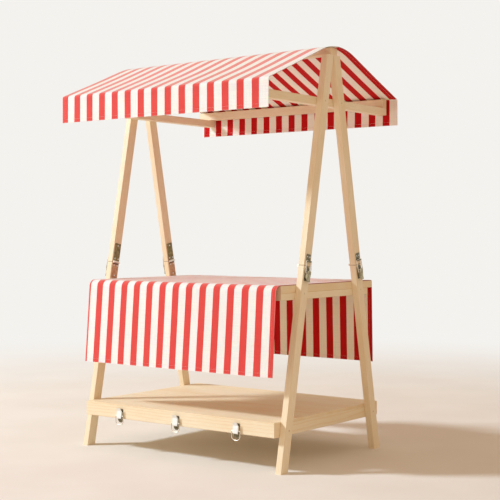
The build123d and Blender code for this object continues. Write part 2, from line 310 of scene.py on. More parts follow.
# %% [markdown]
# ## Give each timber its own stick
# No two battens come from the same part of a log. One finish could serve them all, but then
# every board would show the same flames. Here a fixed table says which way each piece runs,
# and a seeded draw moves its pith and its tone. The leaning legs turn their grain with them,
# by the same angle as the A-frame.

# %% Lay the grain along each timber
import random

draw = random.Random(11)
lean = math.radians(10.989)
quarter_turn = math.pi / 2
joint_along_leg = 0.8878
grain_along = {"x": (0, -quarter_turn, 0), "y": (quarter_turn, 0, 0),
               "front": (lean, 0, 0), "back": (-lean, 0, 0)}

legs = [(side, place) for side in ("left", "right") for place in ("front", "back")]
timbers = {f"{side}_{place}_{part}": place
           for side, place in legs for part in ("lower_leg", "upper_post")}
timbers |= {name: "x" for name in ("ridge_beam", "back_eave_rail", "front_eave_rail",
                                   "table_top", "table_front_rail", "table_back_rail",
                                   "shelf_front_fascia", "shelf_back_fascia", "shelf_deck")}
timbers |= {name: "y" for name in ("right_crossbar", "left_crossbar", "table_right_rail",
                                   "table_left_rail", "shelf_right_rail", "shelf_left_rail")}


def dress(name, material):
    """Give a ready-made part its finish through its own material slots."""
    for slot in nodes[name].material_slots:
        slot.link = "OBJECT"
        slot.material = material


for name, way in timbers.items():
    pith = (draw.uniform(0.05, 0.12) * draw.choice((-1, 1)), draw.uniform(0.03, 0.09))
    seed, warmth = draw.uniform(0, 40), draw.uniform(0, 0.16)
    joint_at = joint_along_leg if way in ("front", "back") else None
    dress(name, pine("pine_" + name, grain_along[way], pith, seed, warmth, joint_at))
print(len(timbers), "timbers grained")

# %% [markdown]
# ## Woven stripes
# Both cloths are striped cotton canvas. The stripes are woven in, so they run straight along
# the cut cloth whatever shape it hangs in. They could be laid on from the front like a slide,
# but they would slip where the cloth bends. So each point of the mesh remembers its place on
# the flat cloth, and the material reads that place. No yarn lies quite straight, so the edge
# of a stripe wobbles by less than a millimetre.

# %% Weave the stripes
stripe_red = 0.041
stripe_blur = 0.0009
stripe_wobble = 0.0008
# Scales of the cloth count features to the metre, across it and then along it.
wobble_scale = (8, 30, 1)
# The half centres a red stripe on nought, and the hundred keeps every count above nought.
first_count = 100.5


def red_stripes(web, across, along, flat, cut):
    """One on the red stripes and nought on the white ones.

    cut says how a cloth is cut. Its panels list where along the cloth a panel starts and its
    stripes' shift, and past its last_stripe the cloth keeps the colour that it has there.
    """
    period, panels = cut["repeat"], cut["panels"]
    shift = panels[0][1]
    for (_, before), (start, after) in zip(panels, panels[1:]):
        past = web.sum("GREATER_THAN", along, start)
        shift = web.sum("MULTIPLY_ADD", past, after - before, shift)
    unsteady = web.noise(web.stretch(flat, wobble_scale))
    stripe = web.sum("SUBTRACT", web.sum("MINIMUM", across, cut["last_stripe"]), shift)
    stripe = web.sum("MULTIPLY_ADD", unsteady, stripe_wobble, stripe)
    repeat = web.sum("FRACT", web.sum("MULTIPLY_ADD", stripe, 1 / period, first_count))
    from_middle = web.sum("ABSOLUTE", web.sum("SUBTRACT", repeat, 0.5))
    edge = (stripe_red - stripe_blur) / 2, (stripe_red + stripe_blur) / 2
    return web.ramp(web.sum("MULTIPLY", from_middle, period), *edge, 1.0, 0.0)


print("red stripes", round(1000 * stripe_red), "mm wide")

# %% [markdown]
# ## Canvas
# Canvas is a plain weave of thick, uneven yarns. A picture of cloth could be wrapped round it,
# but close by it would blur. Here two sines make the weave, and noise that is long one way makes
# the uneven yarns. The inner face is the shaded one, so it gets a warmer white and a deeper red
# as painted shade. Fine hairs on the outer face catch light at a low angle, which is what sheen
# is for, and some light sinks into the cloth, which is what the subsurface share is for.

# %% Weave the canvas
cloth_white = srgb(250, 248, 245)
cloth_red = srgb(228, 68, 60)
# The inner face's warmer white and deeper red are painted shade.
inner_painted_shade_white = srgb(251, 244, 236)
inner_painted_shade_red = srgb(200, 12, 16)
outer_sheen, inner_sheen = 0.8, 0.03
yarn = 0.0013
yarn_bump = (0.3, 0.0005)
crease_bump = (0.25, 0.006)
slub_across_scale = (900, 9, 1)
slub_along_scale = (7, 760, 1)
fade_scale = (3, 3, 1)
crease_scale = (5, 2.2, 1)
rubbed_edge, rubbed_patches = (0.0, 0.005, 0.3, 0.0), (0.3, 0.7)
slub_shade = (0.36, 0.64, 0.90, 1.03)
fade_shade = (0.25, 0.75, 0.965, 1.015)
# This ramp darkens the narrow cut edge to half, a painted shade.
edge_painted_shade = (0.0, 1.0, 1.0, 0.5)
yarn_rough = (0.3, 0.7, 0.78, 0.92)
weave_shade, weave_height = 0.02, 0.22


def canvas(name, cut, inside):
    """Striped canvas for one face of a cloth.

    Its edges are rubbed a little paler. The narrow edge between the faces is darkened, a painted
    shade.
    """
    web = material_web(name)
    flat = web.node("Attribute", attribute_name="flat_place",
                    attribute_type="GEOMETRY").outputs["Vector"]
    across, along, depth = web.split(flat)
    is_red = red_stripes(web, across, along, flat, cut)
    low, high = cut["x_range"]
    length = cut["path"][1][-1]

    warp = web.sum("SINE", web.sum("MULTIPLY", across, 2 * math.pi / yarn))
    weft = web.sum("SINE", web.sum("MULTIPLY", along, 2 * math.pi / yarn))
    weave = web.sum("MULTIPLY", warp, weft)
    slub_across = web.noise(web.stretch(flat, slub_across_scale))
    slub_along = web.noise(web.stretch(flat, slub_along_scale, (4, 0, 0)))
    slub = web.sum("MULTIPLY", web.sum("ADD", slub_across, slub_along), 0.5)
    fade = web.noise(web.stretch(flat, fade_scale, (9, 2, 0)), detail=3.0)

    left, right = web.sum("SUBTRACT", across, low), web.sum("SUBTRACT", high, across)
    ends = web.sum("MINIMUM", along, web.sum("SUBTRACT", length, along))
    from_edge = web.sum("MINIMUM", web.sum("MINIMUM", left, right), ends)
    rubbed = web.ramp(from_edge, *rubbed_edge)
    rubbed = web.sum("MULTIPLY", rubbed, web.ramp(fade, *rubbed_patches))
    white, deep = (inner_painted_shade_white, inner_painted_shade_red) if inside else (cloth_white, cloth_red)
    color = web.blend(rubbed, web.blend(is_red, white, deep), cloth_white)

    shade = web.sum("MULTIPLY_ADD", weave, weave_shade, web.ramp(slub, *slub_shade))
    shade = web.sum("MULTIPLY", shade, web.ramp(fade, *fade_shade))
    off_outer, off_inner = web.ramp(depth, 0.0, 0.1), web.ramp(depth, 0.9, 1.0, 1.0, 0.0)
    cut_edge = web.sum("MULTIPLY", off_outer, off_inner)
    # The cut edge between the faces is darkened to half here, a painted shade.
    shade = web.sum("MULTIPLY", shade, web.ramp(cut_edge, *edge_painted_shade))
    grey = web.node("CombineXYZ", {0: shade, 1: shade, 2: shade}).outputs[0]
    color = web.node("VectorMath", {0: color, 1: grey}, operation="MULTIPLY").outputs[0]

    crease = web.noise(web.stretch(flat, crease_scale, (1, 6, 0)), detail=3.0, roughness=0.55)
    yarns = web.sum("MULTIPLY_ADD", weave, weave_height, slub)
    normal = web.bump(yarns, *yarn_bump, web.bump(crease, *crease_bump))
    rough = web.ramp(slub, *yarn_rough)
    return web.finish(color, rough, normal, Sheen_Weight=inner_sheen if inside else outer_sheen,
                      Sheen_Roughness=0.45, Specular_IOR_Level=0.2, Subsurface_Weight=0.7,
                      Subsurface_Radius=(1.0, 0.6, 0.45), Subsurface_Scale=0.0022)


print("yarns", round(1000 * yarn, 2), "mm apart")

# %% [markdown]
# ## The path of a cloth
# A sheet of cloth is a grid that follows a path over whatever carries it. The path is a row of
# corners, each rounded to its own radius. A simulation could drape it, but both cloths here
# are pulled almost tight, so a worked path with a little sag and a few waves is truer.

# %% Follow a rounded path
import bisect


def rounded_path(corners, radii, spacing):
    """Points and running length along a row of corners that are rounded."""
    points = [Vector(corners[0])]
    for before, corner, after, radius in zip(corners, corners[1:], corners[2:], radii):
        before, corner, after = Vector(before), Vector(corner), Vector(after)
        back, ahead = (before - corner).normalized(), (after - corner).normalized()
        half = back.angle(ahead) / 2
        reach = radius / math.tan(half)
        centre = corner + (back + ahead).normalized() * radius / math.sin(half)
        start, end = corner + back * reach - centre, corner + ahead * reach - centre
        sweep = start.angle(end)
        steps = max(6, math.ceil(sweep * radius / spacing))
        for i in range(steps + 1):
            share = i / steps
            arc = start * math.sin((1 - share) * sweep) + end * math.sin(share * sweep)
            points.append(centre + arc / math.sin(sweep))
    points.append(Vector(corners[-1]))
    dense = [points[0]]
    for first, second in zip(points, points[1:]):
        count = max(1, math.ceil((second - first).length / spacing))
        dense += [first.lerp(second, (i + 1) / count) for i in range(count)]
    lengths = [0.0]
    for first, second in zip(dense, dense[1:]):
        lengths.append(lengths[-1] + (second - first).length)
    return dense, lengths


def on_path(path, distance):
    """The point and the outward normal at a distance along the path."""
    points, lengths = path
    i = min(max(bisect.bisect_right(lengths, distance) - 1, 0), len(lengths) - 2)
    share = (distance - lengths[i]) / (lengths[i + 1] - lengths[i])
    run = (points[i + 1] - points[i]).normalized()
    return points[i].lerp(points[i + 1], share), Vector((-run.y, run.x))


bend = rounded_path([(0, 0), (0, 0.1), (0.1, 0.1)], (0.02,), 0.001)
print("a 20 mm bend shortens its path to", round(1000 * bend[1][-1], 1), "of 200 mm")

# %% [markdown]
# ## Hems
# Real cloth is hemmed: its edges are folded over to the inside and sewn down. A thin sheet
# with a printed line would do from afar. But the fold makes the edge thicker, which shows at
# every corner, so the inner face of the mesh steps inwards there. Extra grid lines on both
# sides of the step keep it crisp.

# %% Lay out the grid of a sheet
sheet_step = 0.0105
clear_of_edge = 0.3 * sheet_step
hem_width = 0.02
hem_step = 0.0008
seam_width = 0.012
outer_skin = 0.0004
inner_skin = 0.0015
hem_skin = 0.0027


def grid_lines(low, high, seams=()):
    """Positions across a sheet, with close lines at each hem's inner edge and at each seam."""
    count = math.ceil((high - low) / sheet_step)
    lines = {low + (high - low) * i / count for i in range(count + 1)}
    half_seam = seam_width / 2
    seam_lines = (-half_seam, hem_step - half_seam, 0, half_seam - hem_step, half_seam)
    hem_lines = (-hem_step / 2, hem_step / 2)
    close_lines = [(edge, hem_lines) for edge in (low + hem_width, high - hem_width)]
    close_lines += [(edge, seam_lines) for edge in seams]
    for edge, offsets in close_lines:
        lines = {x for x in lines if abs(x - edge) > clear_of_edge}
        lines |= {edge + offset for offset in offsets}
    return sorted(lines | {low, high})


def surface(cut, x, v, inside):
    """The point of a cloth's outer or inner face at x and v, and the way out.

    v runs along the cut's path. Its relief says how far the cloth stands off that path.
    """
    path = cut["path"]
    low, high = cut["x_range"]
    depth = outer_skin
    if inside:
        hemmed = min(x - low, high - x, v, path[1][-1] - v) < hem_width
        depth = hem_skin if hemmed else inner_skin
    elif any(abs(v - seam) < (seam_width - hem_step) / 2 for seam in cut["seams"]):
        depth = 0.0
    point, normal = on_path(path, v)
    normal = Vector((0, normal.x, normal.y))
    return Vector((x, point.x, point.y)) + normal * (cut["relief"](x, v) - depth), normal


print("hems are", round(1000 * (hem_skin - inner_skin), 1), "mm thicker than the cloth")

# %% [markdown]
# ## Both faces of a sheet
# A cloth has two faces, and here they also wear different finishes. A flat grid with a
# solidify modifier would give it a thickness too, but the same everywhere. So both faces are
# built point by point, which leaves room for the steps of the hems, and a narrow rim joins
# them all round.

# %% Build a hemmed sheet
sharp_cloth = 50


def smooth_mesh(mesh, name, sharp_from):
    """A bmesh as smooth data whose edges past an angle in degrees stay sharp."""
    bmesh.ops.recalc_face_normals(mesh, faces=mesh.faces)
    data = bpy.data.meshes.new(name)
    mesh.to_mesh(data)
    mesh.free()
    data.polygons.foreach_set("use_smooth", [True] * len(data.polygons))
    data.set_sharp_from_angle(angle=math.radians(sharp_from))
    return data


def hemmed_sheet(name, cut):
    """A closed mesh of cloth, with canvas on its outer and on its inner face."""
    length = cut["path"][1][-1]
    across = grid_lines(*cut["x_range"])
    along = grid_lines(0, length, cut["seams"])
    mesh = bmesh.new()
    flat = mesh.verts.layers.float_vector.new("flat_place")

    def layer(inside):
        rows = []
        for v in along:
            row = [mesh.verts.new(surface(cut, x, v, inside)[0]) for x in across]
            for x, vert in zip(across, row):
                vert[flat] = (x, v, 1.0 if inside else 0.0)
            rows.append(row)
        return rows

    outer, inner = layer(False), layer(True)
    last_row, last_column = len(along) - 1, len(across) - 1
    for j in range(last_row):
        for i in range(last_column):
            mesh.faces.new((outer[j][i], outer[j][i + 1], outer[j + 1][i + 1], outer[j + 1][i]))
            face = mesh.faces.new((inner[j][i], inner[j + 1][i],
                                   inner[j + 1][i + 1], inner[j][i + 1]))
            face.material_index = 1
    rim = [(j, 0) for j in range(last_row)] + [(last_row, i) for i in range(last_column)]
    rim += [(j, last_column) for j in range(last_row, 0, -1)]
    rim += [(0, i) for i in range(last_column, 0, -1)]
    # The rim takes the inner canvas, with its painted shade.
    for (j, i), (k, m) in zip(rim, rim[1:] + rim[:1]):
        face = mesh.faces.new((outer[j][i], outer[k][m], inner[k][m], inner[j][i]))
        face.material_index = 1
    data = smooth_mesh(mesh, name + "_cloth", sharp_cloth)
    data.materials.append(canvas(name + "_outer", cut, False))
    data.materials.append(canvas(name + "_inner", cut, True))
    print(name, len(data.polygons), "faces, path", round(length, 4), "m")
    return add_object(name + "_cloth", data)


print("edges of cloth stay sharp from", sharp_cloth, "degrees")

# %% [markdown]
# ## Sewing thread
# The thread is pale cotton, twisted from finer strands. One plain colour would do from afar,
# but close by the twist shows as slanting bands, and a wave texture draws them.

# %% Twist the thread
strand_scale = 900.0

thread = material_web("sewing_thread")
thread_place = thread.node("TexCoord").outputs["Object"]
twist = thread.node("TexWave", {"Vector": thread_place, "Scale": strand_scale},
                    bands_direction="DIAGONAL").outputs["Fac"]
thread_color = thread.blend(twist, srgb(246, 230, 220), srgb(226, 206, 194))
thread.finish(thread_color, 0.75, Sheen_Weight=0.4)
print("made", thread.owner.name)

# %% [markdown]
# ## Stitches
# Hems and seams are sewn with a lockstitch, which shows the same short stitches on both faces.
# They could be a pattern in the material, but real thread stands a little proud and casts its
# own small shadow. So each stitch is a spindle of thread, sunk part of the way into the cloth.
# All stitches of one cloth are one mesh.

# %% Sew along a cloth
stitch_pitch = 0.0032
stitch_length = 0.0027
thread_width = 0.0006
thread_lift = 0.0001
# A stitch has its full width up to this share of its length on both sides of its middle.
full_part = 0.3


def sew(name, cut, rows):
    """Stitches on both faces of a cloth, along rows that run from one (x, v) to another."""
    points, faces = [], []
    for (x, v), (x_end, v_end) in rows:
        length = math.hypot(x_end - x, v_end - v)
        run_x, run_v = (x_end - x) / length, (v_end - v) / length
        count = int(length / stitch_pitch)
        for i in range(count):
            share = (i + 0.5) / count
            for inside, lift in ((False, thread_lift), (True, -thread_lift)):
                spot, out = surface(cut, x + (x_end - x) * share, v + (v_end - v) * share, inside)
                along = Vector((run_x, out.z * run_v, -out.y * run_v))
                side = out.cross(along) * thread_width / 2
                rise = out * thread_width / 2
                spot = spot + out * lift
                first = len(points)
                points.append(spot - along * stitch_length / 2)
                for reach in (-full_part, full_part):
                    ring = spot + along * stitch_length * reach
                    points += [ring + side, ring + rise, ring - side, ring - rise]
                points.append(spot + along * stitch_length / 2)
                for k in range(4):
                    near, next_near = first + 1 + k, first + 1 + (k + 1) % 4
                    faces.append((first, near, next_near))
                    faces.append((near, near + 4, next_near + 4, next_near))
                    faces.append((near + 4, first + 9, next_near + 4))
    data = bpy.data.meshes.new(name)
    data.from_pydata(points, [], faces)
    data.polygons.foreach_set("use_smooth", [True] * len(data.polygons))
    data.materials.append(thread.owner)
    print(name, len(points) // 10, "stitches")
    return add_object(name, data)


def hem_rows(cut, inset):
    """Four rows of stitches, inset from the edges of a cloth."""
    low, high = cut["x_range"][0] + inset, cut["x_range"][1] - inset
    end = cut["path"][1][-1] - inset
    corners = [(low, inset), (high, inset), (high, end), (low, end)]
    return list(zip(corners, corners[1:] + corners[:1]))


print(round(0.01 / stitch_pitch, 1), "stitches to the centimetre")

# %% [markdown]
# ## The run of the canopy
# The canopy goes over the ridge beam and the two eave rails, and hangs down as a valance in
# front and behind. It sags a little between its supports, and no two of its waves are alike.
# The waves could be pulled into the mesh by hand, but smooth noise gives them in one line, and
# a swell fades them out where wood holds the cloth.

# %% Shape the canopy
eave_y, eave_z, crest_z, hem_z = 0.567, 1.7964, 2.0294, 1.6634
fold_radius = 0.008
crest_radius = 0.360
path_step = 0.009
canopy_path = rounded_path([(-eave_y, hem_z), (-eave_y, eave_z), (0, crest_z),
                            (eave_y, eave_z), (eave_y, hem_z)],
                           (fold_radius, crest_radius, fold_radius), path_step)
canopy_length = canopy_path[1][-1]
canopy_x = (-0.644, 0.659)
canopy_sag = 0.0035
sag_along, sag_across = (0.16, 0.60), (-0.70, 0.70)
slope_wave = 0.0012
wave_along = (0.15, 0.62)
loose_drop = 0.11
valance_flare = 0.0022
flute_share, flute_turn = 0.35, 31


def swell(x, low, high):
    """Nought at both ends and one in the middle."""
    if not low < x < high:
        return 0.0
    return math.sin(math.pi * (x - low) / (high - low)) ** 2


def both_slopes(v, low, high):
    """A swell on the front slope, and the same on the back one."""
    return swell(v, low, high) + swell(v, canopy_length - high, canopy_length - low)


def cloth_wave(slow, quick, quick_share):
    """Slow waves with quicker ones on top. Places are in waves, not in metres."""
    return noise.noise(Vector(slow)) + quick_share * noise.noise(Vector(quick))


def canopy_relief(x, v):
    """How far the canopy stands off its path, at x and at v along it."""
    sag = -canopy_sag * both_slopes(v, *sag_along) * (0.4 + 0.6 * swell(x, *sag_across))
    wave = cloth_wave((x * 3.1, v * 1.3, 0.4), (x * 8.0, v * 2.0, 7.0), 0.5)
    hang = max(0.0, 1 - v / loose_drop, 1 - (canopy_length - v) / loose_drop)
    flare = valance_flare * hang * (wave + flute_share * math.sin(x * flute_turn))
    return sag + slope_wave * wave * both_slopes(v, *wave_along) + flare


print("canopy", round(canopy_length, 3), "m from hem to hem")

# %% [markdown]
# ## The canopy's panels
# The canopy is sewn from panels. The back slope's stripes are more than half a repeat off
# those of the front, and the back valance starts its own count again, so there is a seam at
# the crest and one along the back eave. Three separate sheets could be made, but a seam also
# holds the cloth together, so it is one sheet whose stripes shift at each seam.

# %% Make the canopy
hem_stitches = 0.017
seam_inset = 0.003
seam_stitches = (-0.004, 0.004)
valance_drop = 0.133
crest_at = canopy_length / 2
back_eave_at = canopy_length - valance_drop - fold_radius
canopy_seams = (crest_at, back_eave_at)

canopy_cut = {"path": canopy_path, "x_range": canopy_x, "relief": canopy_relief,
              "seams": canopy_seams, "repeat": 0.08644, "last_stripe": 0.650,
              "panels": [(0, -0.0188), (crest_at, 0.0339), (back_eave_at, -0.0121)]}
canopy = hemmed_sheet("canopy", canopy_cut)
seam_start, seam_end = canopy_x[0] + seam_inset, canopy_x[1] - seam_inset
seam_rows = [((seam_start, seam + row), (seam_end, seam + row))
             for seam in canopy_seams for row in seam_stitches]
canopy_stitches = sew("canopy_stitches", canopy_cut,
                      hem_rows(canopy_cut, hem_stitches) + seam_rows)
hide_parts("canopy")
for piece in (canopy, canopy_stitches):
    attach(piece, "frame")
print("canopy", len(canopy_seams) + 1, "panels")

# %% [markdown]
# ## The table runner
# The runner lies flat on the table and hangs down in front and behind. It could be a box with
# stripes, but real canvas is too stiff to turn a sharp corner: at the front it stands away
# from the rail in a soft round fold and flares a little. Its outermost stripes are red.

# %% Make the table runner
runner_corners = [(-0.453, 0.441), (-0.422, 0.8623), (0.418, 0.8623), (0.428, 0.441)]
front_fold, back_fold = 0.035, 0.009
runner_path = rounded_path(runner_corners, (front_fold, back_fold), path_step)
runner_length = runner_path[1][-1]
runner_x = (-0.596, 0.596)
front_drop, back_drop = 0.39, 0.40
front_wave, back_wave = 0.006, 0.003


def runner_relief(x, v):
    """How far the runner stands off its path, at x and at v along it."""
    front = max(0.0, 1 - v / front_drop)
    back = max(0.0, 1 - (runner_length - v) / back_drop)
    wave = cloth_wave((x * 2.6, 0.3, v * 1.1), (x * 6.5, 4.0, v * 2.0), 0.4)
    return front_wave * front * (0.25 + wave) + back_wave * back * (0.2 + wave)


runner_cut = {"path": runner_path, "x_range": runner_x, "relief": runner_relief,
              "seams": (), "repeat": 0.0854, "last_stripe": runner_x[1],
              "panels": [(0, -0.0073)]}
runner = hemmed_sheet("runner", runner_cut)
runner_stitches = sew("runner_stitches", runner_cut, hem_rows(runner_cut, hem_stitches))
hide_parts("table_runner")
for piece in (runner, runner_stitches):
    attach(piece, "frame")
print("runner", round(runner_length, 3), "m from hem to hem")

# %% [markdown]
# ## Zinc plated steel
# Hinges, latches and wire are steel with a thin coat of zinc. Zinc is a metal, so its colour
# tints what it reflects. One even grey would look like plastic, and a mirror like chrome, so
# small cloudy patches and fine scratches break up the shine, and edges are rubbed pale. The bevel
# node finds the edges: it rounds the normal there, and the less the two agree, the nearer the
# edge is. The hinges' knuckles get a painted highlight, with a painted shadow below them.

# %% Plate one kind of fitting
zinc_wear_and_highlight = srgb(240, 236, 224)
patch_scale = (60, 60, 60)
scratch_scale = (1600, 1600, 50)
scratch_bump, scratch_rough = (0.12, 0.0002), 0.12
spangle_scale, spangle_share = 260.0, 0.25
patches = (0.3, 0.7)
edge_reach = 0.0008
rubbed_pale = (0.86, 0.985, 0.75, 0.0)
# Ramps along the leg: painted highlight round a hinge's pin, painted shadow some way below it.
knuckle_highlight = (0.0055, 0.0070, 0.85, 0.0)
knuckle_shadow = (0.002, 0.004, 0.8, 0.0)
shadow_below = 0.0095


def zinc(name, bright, dull, smooth, rough, seed, knuckles=False):
    """Plated steel, paler on rubbed edges; knuckles get a painted highlight and a painted shadow
    below.
    """
    web = material_web(name)
    place = web.node("TexCoord").outputs["Object"]
    cloud = web.noise(web.stretch(place, patch_scale, (seed, 0, 0)), detail=3.0)
    spangle = web.node("TexVoronoi", {"Vector": place, "Scale": spangle_scale}).outputs["Color"]
    spangle = web.node("SeparateColor", {"Color": spangle}).outputs[0]
    scratch = web.stretch(place, scratch_scale, (0, seed, 0))
    scratch = web.noise(scratch, detail=2.0, roughness=0.6)
    share = web.ramp(cloud, *patches, 0.0, 0.7)
    share = web.sum("MULTIPLY_ADD", spangle, spangle_share, share)
    color = web.blend(share, srgb(*bright), srgb(*dull))

    rounded = web.node("Bevel", {"Radius": edge_reach}, samples=4).outputs[0]
    normal = web.node("NewGeometry").outputs["Normal"]
    agree = web.node("VectorMath", {0: rounded, 1: normal}, operation="DOT_PRODUCT")
    wear_and_highlight = web.ramp(agree.outputs["Value"], *rubbed_pale)
    if knuckles:
        parts = web.split(place)
        up_leg = web.sum("MULTIPLY", web.sum("ABSOLUTE", parts[1]), -math.sin(lean))
        up_leg = web.sum("MULTIPLY_ADD", parts[2], math.cos(lean), up_leg)
        apart = web.sum("SUBTRACT", up_leg, joint_along_leg)
        # A painted highlight round the pin, and a painted shadow below it, both set along the
        # leg.
        painted_highlight = web.ramp(web.sum("ABSOLUTE", apart), *knuckle_highlight)
        wear_and_highlight = web.sum("MAXIMUM", wear_and_highlight, painted_highlight)
        below = web.sum("ABSOLUTE", web.sum("ADD", apart, shadow_below))
        color = web.blend(web.ramp(below, *knuckle_shadow), color, joint_shadow)
    # The pale colour stands for rubbed wear on edges and for the painted highlight on knuckles.
    color = web.blend(wear_and_highlight, color, zinc_wear_and_highlight)

    gloss = web.ramp(cloud, *patches, smooth, rough)
    gloss = web.sum("MULTIPLY_ADD", scratch, scratch_rough, gloss)
    return web.finish(color, gloss, web.bump(scratch, *scratch_bump), Metallic=1.0)


print("worn edges", edge_reach * 1000, "mm wide")

# %% [markdown]
# ## Lit and shaded tones of the fittings
# All the fittings are one plated steel, given lit and shaded tones. The levers of the fascia
# latches are bright, a painted highlight, and the wire of bails, rings and pins is pale, a
# painted highlight too. The plates are a dark grey brown, painted shade, the levers on the legs
# are in between, painted half shade, and the hinges' upper leaves are a dark yellowish tone,
# painted shade. Their lower leaves are warm, almost copper, a painted reflection of the red
# runner nearby. One tone for all would be simpler, but it would lose this light and shade.

# %% Plate the fittings
# Tones of one steel: painted highlight, painted shade, half shade and painted reflection.
zinc_painted_highlight = zinc("zinc_painted_highlight", (250, 250, 247), (234, 234, 230), 0.40, 0.55, 3)
zinc_painted_shade = zinc("zinc_painted_shade", (140, 130, 104), (98, 90, 68), 0.34, 0.5, 8)
hinge_zinc_painted_shade = zinc("hinge_zinc_painted_shade", (158, 138, 96), (116, 98, 62), 0.40, 0.55, 4, knuckles=True)
zinc_painted_reflection = zinc("zinc_painted_reflection", (212, 164, 128), (184, 136, 102), 0.45, 0.6, 6, knuckles=True)
lever_zinc_half_shade = zinc("lever_zinc_half_shade", (196, 184, 150), (132, 120, 90), 0.36, 0.5, 7)
wire_zinc_painted_highlight = zinc("wire_zinc_painted_highlight", (240, 226, 208), (214, 200, 182), 0.45, 0.6, 5)
yellow_zinc = zinc("yellow_zinc", (222, 194, 138), (186, 156, 104), 0.40, 0.5, 2)

plating = {"leg_latch_bases": zinc_painted_shade, "leg_latch_catches": zinc_painted_shade,
           "fascia_latch_bases": zinc_painted_shade, "hinge_upper_leaves": hinge_zinc_painted_shade,
           "hinge_lower_leaves": zinc_painted_reflection, "hinge_pins": wire_zinc_painted_highlight}
for side, place in legs:
    plating[f"{side}_{place}_latch_lever"] = lever_zinc_half_shade
    plating[f"{side}_{place}_latch_bail"] = wire_zinc_painted_highlight
for place in ("left", "middle", "right"):
    plating[f"{place}_fascia_latch_lever"] = zinc_painted_highlight
    plating[f"{place}_fascia_latch_ring"] = wire_zinc_painted_highlight
for name, finish in plating.items():
    dress(name, finish)
print(len(plating), "fittings plated")

# %% [markdown]
# ## A screw head
# Every plate is held by countersunk screws with a cross recess, and the timbers are screwed
# to the legs from outside. A picture of a screw would look flat in light from the side, so it
# is modelled: a shallow cone whose face has a cross sunk into it. Its outline and its cross
# are shares of its radius, so one recipe makes small and large screws.

# %% Model a screw head
head_sides = 28
cross_arm = 0.16
cross_reach = 0.62
cross_taper = 0.72
recess_depth = 0.28
skirt_radius = 0.80
skirt_depth = 0.0012
rim_radius = 0.94
rim_drop = 0.00025


def screw_head(mesh, place, radius, spin, proud):
    """Add one head. place is a matrix whose Z points out of the surface."""
    arm, tip = cross_arm * radius, cross_reach * radius
    cross = [(arm, tip), (-arm, tip), (-arm, arm), (-tip, arm), (-tip, -arm), (-arm, -arm),
             (-arm, -tip), (arm, -tip), (arm, -arm), (tip, -arm), (tip, arm), (arm, arm)]
    turned = place @ Matrix.Rotation(spin, 4, "Z")

    def outline(spots, height):
        return [mesh.verts.new(turned @ Vector((x, y, height))) for x, y in spots]

    def ring(size, height):
        angles = [2 * math.pi * i / head_sides for i in range(head_sides)]
        return outline([(size * math.cos(a), size * math.sin(a)) for a in angles], height)

    def join(low, high):
        for i in range(len(low)):
            k = (i + 1) % len(low)
            mesh.faces.new((low[i], low[k], high[k], high[i]))

    skirt = ring(radius * skirt_radius, -skirt_depth)
    rim = ring(radius, proud - rim_drop)
    edge = ring(radius * rim_radius, proud)
    join(skirt, rim)
    join(rim, edge)
    mesh.faces.new(list(reversed(skirt)))
    mouth = outline(cross, proud)
    small_cross = [(x * cross_taper, y * cross_taper) for x, y in cross]
    floor = outline(small_cross, proud - recess_depth * radius)
    join(floor, mouth)
    mesh.faces.new(floor)
    loops = [mesh.edges.get((a, b))
             for row in (edge, mouth) for a, b in zip(row, row[1:] + row[:1])]
    bmesh.ops.triangle_fill(mesh, edges=loops, use_beauty=True)


print("a screw head has", head_sides, "sides")

# %% [markdown]
# ## Find the spots for the screws
# A screw could be placed by typing its point in space, but on a leaning leg that point is hard
# to check. It is easier to say how far up the leg and across it the screw sits, as a ruler on
# the wood would, and to let the lean do the rest.

# %% Measure along a leaning leg
half_bay = 0.6
half_length = 0.634
leg_joint_z = 0.94796
batten_width = 0.054
foot_edge = -0.436
foot_middle = foot_edge + batten_width / math.cos(lean) / 2


def facing(origin, up, out):
    """A matrix with X along up and Z along out, at origin."""
    up, out = Vector(up).normalized(), Vector(out).normalized()
    side = out.cross(up)
    return Matrix.Translation(origin) @ Matrix((up, side, out)).transposed().to_4x4()


def leg_face(side, place, x_face, out, height, up=0.0, across=0.0):
    """A spot on a leg's face: up along the leg and across it from the middle at a height."""
    hand, turn = (-1 if side == "left" else 1), (-1 if place == "back" else 1)
    y = turn * (foot_middle + height * math.tan(lean))
    along = Vector((0, turn * math.sin(lean), math.cos(lean)))
    sideways = Vector((0, math.cos(lean), -turn * math.sin(lean)))
    spot = Vector((hand * x_face, y, height)) + along * up + sideways * across
    return facing(spot, along, (hand * out, 0, 0))


print("middle of a front foot at y", round(foot_middle, 4), "m")

# %% [markdown]
# ## The screws of the hinges
# A hinge has six screws, three in each leaf. Every screw could be a piece of its own, but the
# stall would then have some sixty more. So each kind of screw is one mesh, and a draw turns
# every head as the screwdriver happened to leave it.

# %% Screw down the hinges
hinge_leaf = 0.0025
sharp_steel = 35
hinge_spots = [(0.087, 0), (0.018, 0.0125), (0.018, -0.0125),
               (-0.018, 0.0125), (-0.018, -0.0125), (-0.071, 0)]


def screws(name, places, radius, proud, finish):
    """Drive one screw into each place. All heads of one kind are one piece."""
    mesh = bmesh.new()
    for place in places:
        screw_head(mesh, place, radius, draw.uniform(0, math.pi / 2), proud)
    data = smooth_mesh(mesh, name, sharp_steel)
    data.materials.append(finish)
    piece = add_object(name, data)
    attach(piece, "frame")
    print(name, len(places), "screws")


hinge_screws = [leg_face(side, place, half_bay - hinge_leaf, -1, leg_joint_z, up, across)
                for side, place in legs for up, across in hinge_spots]
# The hinge screws take the bright tone, a painted highlight.
screws("hinge_screws", hinge_screws, radius=0.0038, proud=0.0007, finish=zinc_painted_highlight)

# %% [markdown]
# ## The screws of the latches
# The plate of a latch has two screws, one above the other. The hook of a leg latch has two
# more, side by side. A plate stands upright on a leg and head down on the fascia. Two lists
# of screws could be written, but one pair of rows serves the plate either way up.

